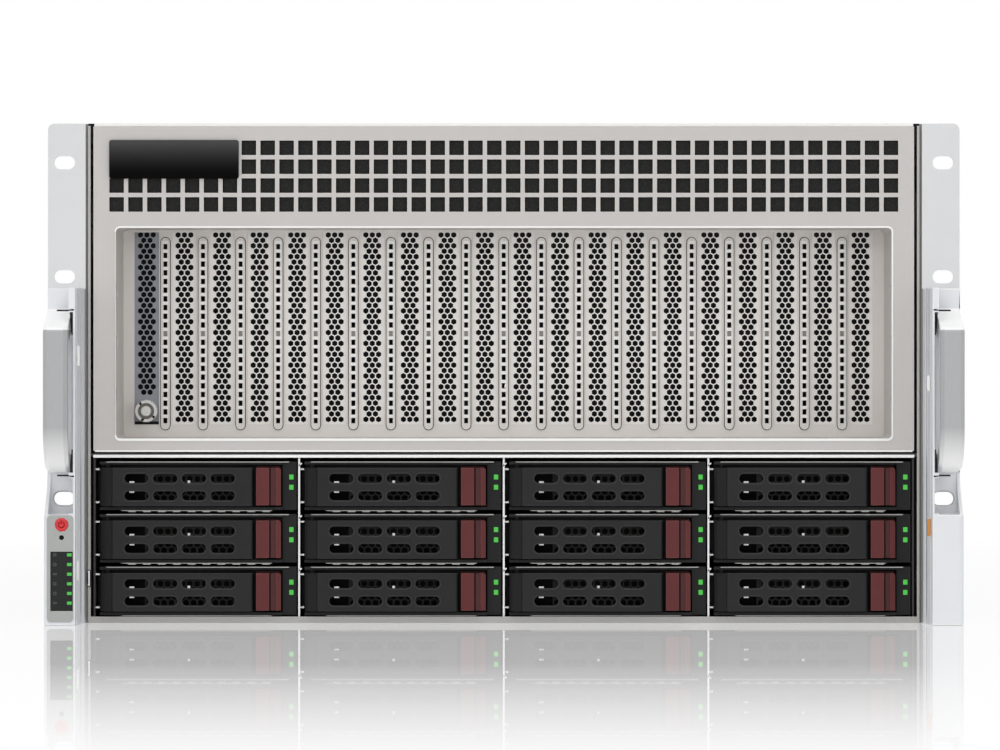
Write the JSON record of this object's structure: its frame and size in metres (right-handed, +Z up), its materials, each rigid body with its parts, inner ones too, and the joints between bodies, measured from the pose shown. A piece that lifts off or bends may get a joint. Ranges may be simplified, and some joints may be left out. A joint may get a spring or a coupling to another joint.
{
  "type": "gpu server",
  "caption": "Rack server with a recessed row of expansion card slots above rows of drive trays with hinged levers, handled rack ears, plug-in rear power supplies and fans.",
  "frame": {"origin": "on the resting plane under the middle of the whole part", "axes": "+X to the right seen from the front, +Y from the front into the rack, +Z up"},
  "size_m": [0.4826, 0.864, 0.2644],
  "materials": {
    "bezel_paint": "satin warm grey powder coat",
    "chassis_steel": "satin galvanised sheet",
    "ear_paint": "satin light grey",
    "handle_silver": "satin silver casting",
    "cage_steel": "bare galvanised sheet",
    "screw_steel": "turned and nickelled",
    "window_black": "smoked window",
    "button_red": "gloss red",
    "button_black": "matte black",
    "board_green": "solder mask",
    "card_black": "matte black shroud",
    "fan_black": "moulded black",
    "supply_steel": "galvanised case",
    "tray_black": "moulded black",
    "lever_black": "fine textured black",
    "tab_red": "dull dark red"
  },
  "bodies": {
    "chassis": {"front_bezel": "bezel_paint", "gpu_slot_panel": "bezel_paint", "slot_covers": "bezel_paint", "rack_ears": "ear_paint", "left_handle": "handle_silver", "right_handle": "handle_silver", "status_panel": "window_black", "drive_cage": "cage_steel", "drive_backplane": "board_green", "mainboard": "board_green", "gpu_cards": "card_black", "fan_frames": "fan_black", "chassis_base": "chassis_steel", "top_cover": "chassis_steel"},
    "tray_01": {"drive_tray_01": "tray_black"},
    "lever_01": {"tray_lever_01": "lever_black"},
    "tab_01": {"release_tab_01": "tab_red"},
    "tray_02": {"drive_tray_02": "tray_black"},
    "lever_02": {"tray_lever_02": "lever_black"},
    "tab_02": {"release_tab_02": "tab_red"},
    "tray_03": {"drive_tray_03": "tray_black"},
    "lever_03": {"tray_lever_03": "lever_black"},
    "tab_03": {"release_tab_03": "tab_red"},
    "tray_04": {"drive_tray_04": "tray_black"},
    "lever_04": {"tray_lever_04": "lever_black"},
    "tab_04": {"release_tab_04": "tab_red"},
    "tray_05": {"drive_tray_05": "tray_black"},
    "lever_05": {"tray_lever_05": "lever_black"},
    "tab_05": {"release_tab_05": "tab_red"},
    "tray_06": {"drive_tray_06": "tray_black"},
    "lever_06": {"tray_lever_06": "lever_black"},
    "tab_06": {"release_tab_06": "tab_red"},
    "tray_07": {"drive_tray_07": "tray_black"},
    "lever_07": {"tray_lever_07": "lever_black"},
    "tab_07": {"release_tab_07": "tab_red"},
    "tray_08": {"drive_tray_08": "tray_black"},
    "lever_08": {"tray_lever_08": "lever_black"},
    "tab_08": {"release_tab_08": "tab_red"},
    "tray_09": {"drive_tray_09": "tray_black"},
    "lever_09": {"tray_lever_09": "lever_black"},
    "tab_09": {"release_tab_09": "tab_red"},
    "tray_10": {"drive_tray_10": "tray_black"},
    "lever_10": {"tray_lever_10": "lever_black"},
    "tab_10": {"release_tab_10": "tab_red"},
    "tray_11": {"drive_tray_11": "tray_black"},
    "lever_11": {"tray_lever_11": "lever_black"},
    "tab_11": {"release_tab_11": "tab_red"},
    "tray_12": {"drive_tray_12": "tray_black"},
    "lever_12": {"tray_lever_12": "lever_black"},
    "tab_12": {"release_tab_12": "tab_red"},
    "thumbscrew": {"captive_thumbscrew": "screw_steel"},
    "power": {"power_button": "button_red"},
    "reset": {"reset_button": "button_black"},
    "rotor_1": {"fan_rotor_1": "fan_black"},
    "rotor_2": {"fan_rotor_2": "fan_black"},
    "rotor_3": {"fan_rotor_3": "fan_black"},
    "supply_1": {"power_supply_1": "supply_steel"},
    "supply_2": {"power_supply_2": "supply_steel"},
    "supply_3": {"power_supply_3": "supply_steel"},
    "supply_4": {"power_supply_4": "supply_steel"}
  },
  "joints": [
    {"name": "tray_slide_01", "type": "slide", "parent": "chassis", "child": "tray_01", "axis": [0, -1, 0], "range_m": [0, 0.165]},
    {"name": "lever_hinge_01", "type": "hinge", "parent": "tray_01", "child": "lever_01", "pos_m": [-0.2098, -0.393, 0.07265], "axis": [0, 0, -1], "range_deg": [0, 65]},
    {"name": "tab_press_01", "type": "slide", "parent": "tray_01", "child": "tab_01", "axis": [0, 1, 0], "range_m": [0, 0.002], "stiffness_N_per_m": 500},
    {"name": "tray_slide_02", "type": "slide", "parent": "chassis", "child": "tray_02", "axis": [0, -1, 0], "range_m": [0, 0.165]},
    {"name": "lever_hinge_02", "type": "hinge", "parent": "tray_02", "child": "lever_02", "pos_m": [-0.1014, -0.393, 0.07265], "axis": [0, 0, -1], "range_deg": [0, 65]},
    {"name": "tab_press_02", "type": "slide", "parent": "tray_02", "child": "tab_02", "axis": [0, 1, 0], "range_m": [0, 0.002], "stiffness_N_per_m": 500},
    {"name": "tray_slide_03", "type": "slide", "parent": "chassis", "child": "tray_03", "axis": [0, -1, 0], "range_m": [0, 0.165]},
    {"name": "lever_hinge_03", "type": "hinge", "parent": "tray_03", "child": "lever_03", "pos_m": [0.007, -0.393, 0.07265], "axis": [0, 0, -1], "range_deg": [0, 65]},
    {"name": "tab_press_03", "type": "slide", "parent": "tray_03", "child": "tab_03", "axis": [0, 1, 0], "range_m": [0, 0.002], "stiffness_N_per_m": 500},
    {"name": "tray_slide_04", "type": "slide", "parent": "chassis", "child": "tray_04", "axis": [0, -1, 0], "range_m": [0, 0.165]},
    {"name": "lever_hinge_04", "type": "hinge", "parent": "tray_04", "child": "lever_04", "pos_m": [0.1154, -0.393, 0.07265], "axis": [0, 0, -1], "range_deg": [0, 65]},
    {"name": "tab_press_04", "type": "slide", "parent": "tray_04", "child": "tab_04", "axis": [0, 1, 0], "range_m": [0, 0.002], "stiffness_N_per_m": 500},
    {"name": "tray_slide_05", "type": "slide", "parent": "chassis", "child": "tray_05", "axis": [0, -1, 0], "range_m": [0, 0.165]},
    {"name": "lever_hinge_05", "type": "hinge", "parent": "tray_05", "child": "lever_05", "pos_m": [-0.2098, -0.393, 0.0448], "axis": [0, 0, -1], "range_deg": [0, 65]},
    {"name": "tab_press_05", "type": "slide", "parent": "tray_05", "child": "tab_05", "axis": [0, 1, 0], "range_m": [0, 0.002], "stiffness_N_per_m": 500},
    {"name": "tray_slide_06", "type": "slide", "parent": "chassis", "child": "tray_06", "axis": [0, -1, 0], "range_m": [0, 0.165]},
    {"name": "lever_hinge_06", "type": "hinge", "parent": "tray_06", "child": "lever_06", "pos_m": [-0.1014, -0.393, 0.0448], "axis": [0, 0, -1], "range_deg": [0, 65]},
    {"name": "tab_press_06", "type": "slide", "parent": "tray_06", "child": "tab_06", "axis": [0, 1, 0], "range_m": [0, 0.002], "stiffness_N_per_m": 500},
    {"name": "tray_slide_07", "type": "slide", "parent": "chassis", "child": "tray_07", "axis": [0, -1, 0], "range_m": [0, 0.165]},
    {"name": "lever_hinge_07", "type": "hinge", "parent": "tray_07", "child": "lever_07", "pos_m": [0.007, -0.393, 0.0448], "axis": [0, 0, -1], "range_deg": [0, 65]},
    {"name": "tab_press_07", "type": "slide", "parent": "tray_07", "child": "tab_07", "axis": [0, 1, 0], "range_m": [0, 0.002], "stiffness_N_per_m": 500},
    {"name": "tray_slide_08", "type": "slide", "parent": "chassis", "child": "tray_08", "axis": [0, -1, 0], "range_m": [0, 0.165]},
    {"name": "lever_hinge_08", "type": "hinge", "parent": "tray_08", "child": "lever_08", "pos_m": [0.1154, -0.393, 0.0448], "axis": [0, 0, -1], "range_deg": [0, 65]},
    {"name": "tab_press_08", "type": "slide", "parent": "tray_08", "child": "tab_08", "axis": [0, 1, 0], "range_m": [0, 0.002], "stiffness_N_per_m": 500},
    {"name": "tray_slide_09", "type": "slide", "parent": "chassis", "child": "tray_09", "axis": [0, -1, 0], "range_m": [0, 0.165]},
    {"name": "lever_hinge_09", "type": "hinge", "parent": "tray_09", "child": "lever_09", "pos_m": [-0.2098, -0.393, 0.01695], "axis": [0, 0, -1], "range_deg": [0, 65]},
    {"name": "tab_press_09", "type": "slide", "parent": "tray_09", "child": "tab_09", "axis": [0, 1, 0], "range_m": [0, 0.002], "stiffness_N_per_m": 500},
    {"name": "tray_slide_10", "type": "slide", "parent": "chassis", "child": "tray_10", "axis": [0, -1, 0], "range_m": [0, 0.165]},
    {"name": "lever_hinge_10", "type": "hinge", "parent": "tray_10", "child": "lever_10", "pos_m": [-0.1014, -0.393, 0.01695], "axis": [0, 0, -1], "range_deg": [0, 65]},
    {"name": "tab_press_10", "type": "slide", "parent": "tray_10", "child": "tab_10", "axis": [0, 1, 0], "range_m": [0, 0.002], "stiffness_N_per_m": 500},
    {"name": "tray_slide_11", "type": "slide", "parent": "chassis", "child": "tray_11", "axis": [0, -1, 0], "range_m": [0, 0.165]},
    {"name": "lever_hinge_11", "type": "hinge", "parent": "tray_11", "child": "lever_11", "pos_m": [0.007, -0.393, 0.01695], "axis": [0, 0, -1], "range_deg": [0, 65]},
    {"name": "tab_press_11", "type": "slide", "parent": "tray_11", "child": "tab_11", "axis": [0, 1, 0], "range_m": [0, 0.002], "stiffness_N_per_m": 500},
    {"name": "tray_slide_12", "type": "slide", "parent": "chassis", "child": "tray_12", "axis": [0, -1, 0], "range_m": [0, 0.165]},
    {"name": "lever_hinge_12", "type": "hinge", "parent": "tray_12", "child": "lever_12", "pos_m": [0.1154, -0.393, 0.01695], "axis": [0, 0, -1], "range_deg": [0, 65]},
    {"name": "tab_press_12", "type": "slide", "parent": "tray_12", "child": "tab_12", "axis": [0, 1, 0], "range_m": [0, 0.002], "stiffness_N_per_m": 500},
    {"name": "thumbscrew_turn", "type": "hinge", "parent": "chassis", "child": "thumbscrew", "pos_m": [-0.19304, -0.336, 0.1118], "axis": [0, 1, 0], "continuous": true},
    {"name": "power_press", "type": "slide", "parent": "chassis", "child": "power", "axis": [0, 1, 0], "range_m": [0, 0.0015], "stiffness_N_per_m": 600},
    {"name": "reset_press", "type": "slide", "parent": "chassis", "child": "reset", "axis": [0, 1, 0], "range_m": [0, 0.001], "stiffness_N_per_m": 600},
    {"name": "fan_spin_1", "type": "hinge", "parent": "chassis", "child": "rotor_1", "pos_m": [-0.136, 0.386, 0.176], "axis": [0, 1, 0], "continuous": true},
    {"name": "fan_spin_2", "type": "hinge", "parent": "chassis", "child": "rotor_2", "pos_m": [0, 0.386, 0.176], "axis": [0, 1, 0], "continuous": true},
    {"name": "fan_spin_3", "type": "hinge", "parent": "chassis", "child": "rotor_3", "pos_m": [0.136, 0.386, 0.176], "axis": [0, 1, 0], "continuous": true},
    {"name": "supply_slide_1", "type": "slide", "parent": "chassis", "child": "supply_1", "axis": [0, 1, 0], "range_m": [0, 0.24]},
    {"name": "supply_slide_2", "type": "slide", "parent": "chassis", "child": "supply_2", "axis": [0, 1, 0], "range_m": [0, 0.24]},
    {"name": "supply_slide_3", "type": "slide", "parent": "chassis", "child": "supply_3", "axis": [0, 1, 0], "range_m": [0, 0.24]},
    {"name": "supply_slide_4", "type": "slide", "parent": "chassis", "child": "supply_4", "axis": [0, 1, 0], "range_m": [0, 0.24]}
  ]
}
